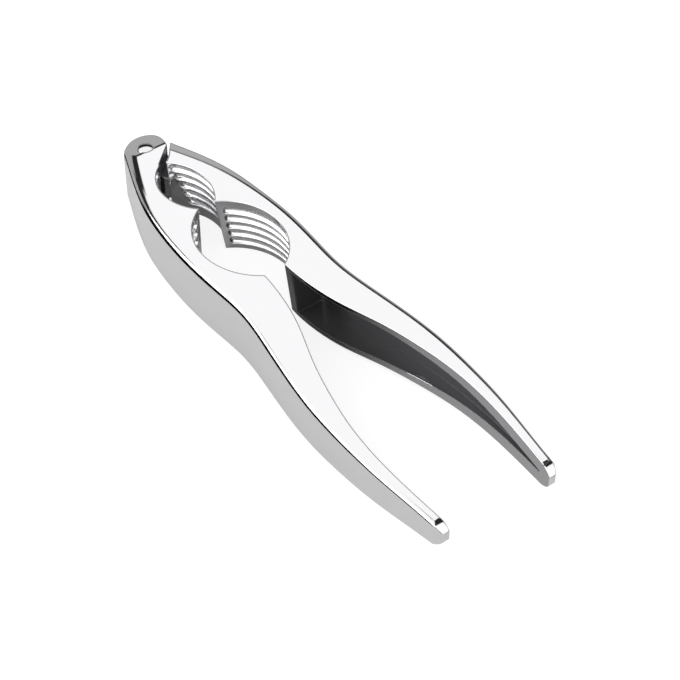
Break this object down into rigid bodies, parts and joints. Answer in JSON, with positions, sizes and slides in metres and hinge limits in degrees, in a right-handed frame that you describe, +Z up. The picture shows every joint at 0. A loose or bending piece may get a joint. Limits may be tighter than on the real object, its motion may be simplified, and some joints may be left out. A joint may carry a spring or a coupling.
{
  "type": "nutcracker",
  "caption": "Plier-type chromed nutcracker: two curved handles on a riveted hinge, with ribbed jaws for small and large nuts.",
  "frame": {"origin": "under the middle of the nutcracker, on the surface it lies on", "axes": "+X from the hinge to the handle tips, +Y towards the rear handle, +Z up along the hinge pin"},
  "size_m": [0.1704, 0.0438, 0.0195],
  "materials": {
    "chrome": "polished plating",
    "pin": "polished plating"
  },
  "bodies": {
    "front": {"front_handle": "chrome", "hinge_pin": "pin"},
    "rear": {"rear_handle": "chrome"}
  },
  "joints": [
    {"name": "handle_hinge", "type": "hinge", "parent": "front", "child": "rear", "pos_m": [-0.07695, 0, 0.00975], "axis": [0, 0, 1], "range_deg": [-5.5, 30]}
  ]
}
